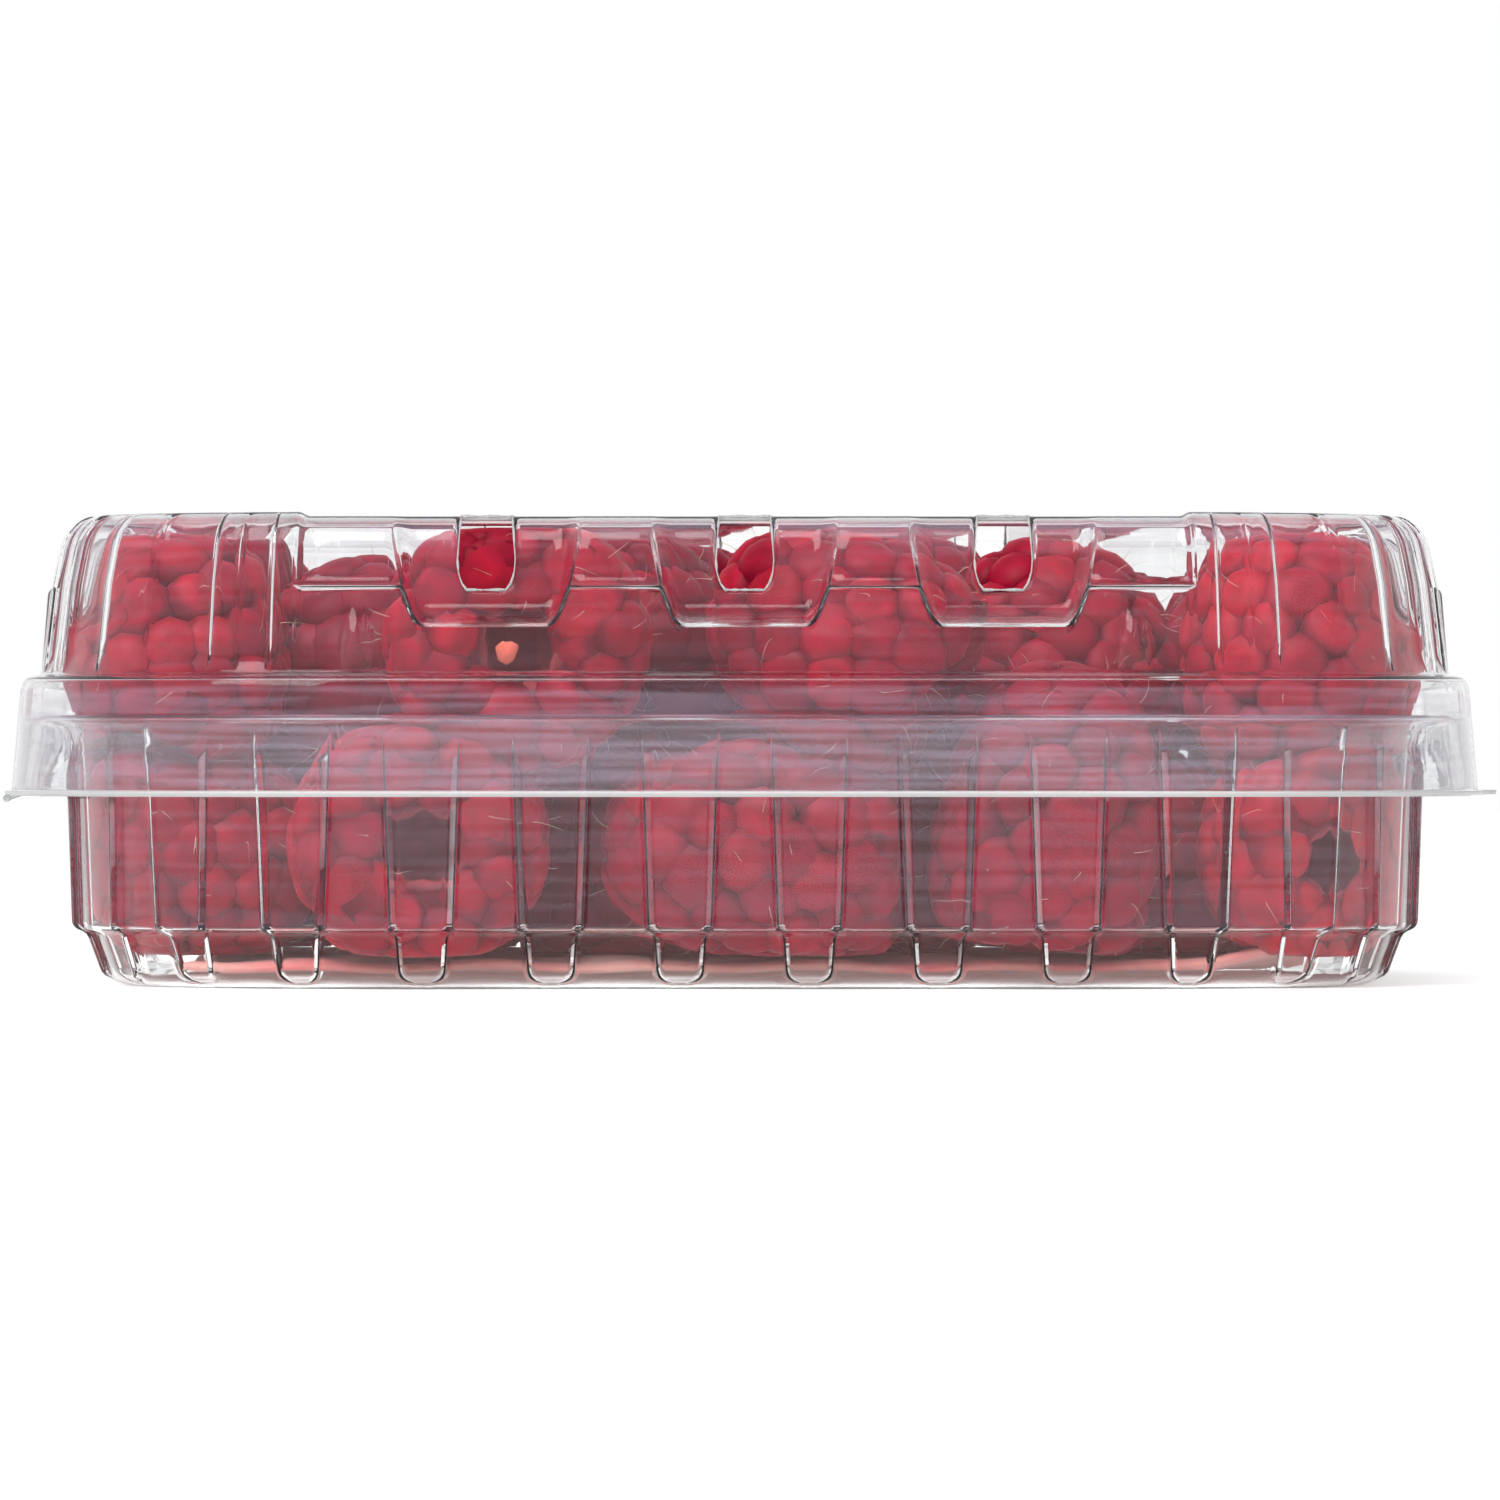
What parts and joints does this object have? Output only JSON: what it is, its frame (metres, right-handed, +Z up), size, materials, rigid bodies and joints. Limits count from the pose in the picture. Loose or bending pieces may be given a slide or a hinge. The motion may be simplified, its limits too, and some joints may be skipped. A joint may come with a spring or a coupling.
{
  "type": "punnet of raspberries",
  "caption": "Shut clear-plastic clamshell punnet with a fluted tub, a vented hinged lid, an absorbent pad and a heap of raspberries.",
  "frame": {"origin": "middle of the tub's flat underside, on the surface that the punnet stands on", "axes": "+Z up, +X along the length towards the lift tab, so that the lid's hinge is at -X, and -Y the long side that the picture shows"},
  "size_m": [0.1299, 0.1106, 0.0405],
  "materials": {
    "clear_tub": "clear thermoformed plastic, glossy",
    "clear_lid": "clear thermoformed plastic, glossy",
    "pad": "matte absorbent paper and film",
    "raspberry": "soft waxy fruit skin with a low sheen"
  },
  "bodies": {
    "tub": {"tub": "clear_tub", "pad": "pad", "raspberries": "raspberry"},
    "lid": {"lid": "clear_lid"}
  },
  "joints": [
    {"name": "lid_hinge", "type": "hinge", "parent": "tub", "child": "lid", "pos_m": [-0.0639, 0, 0.01615], "axis": [0, -1, 0], "range_deg": [0, 135]}
  ]
}
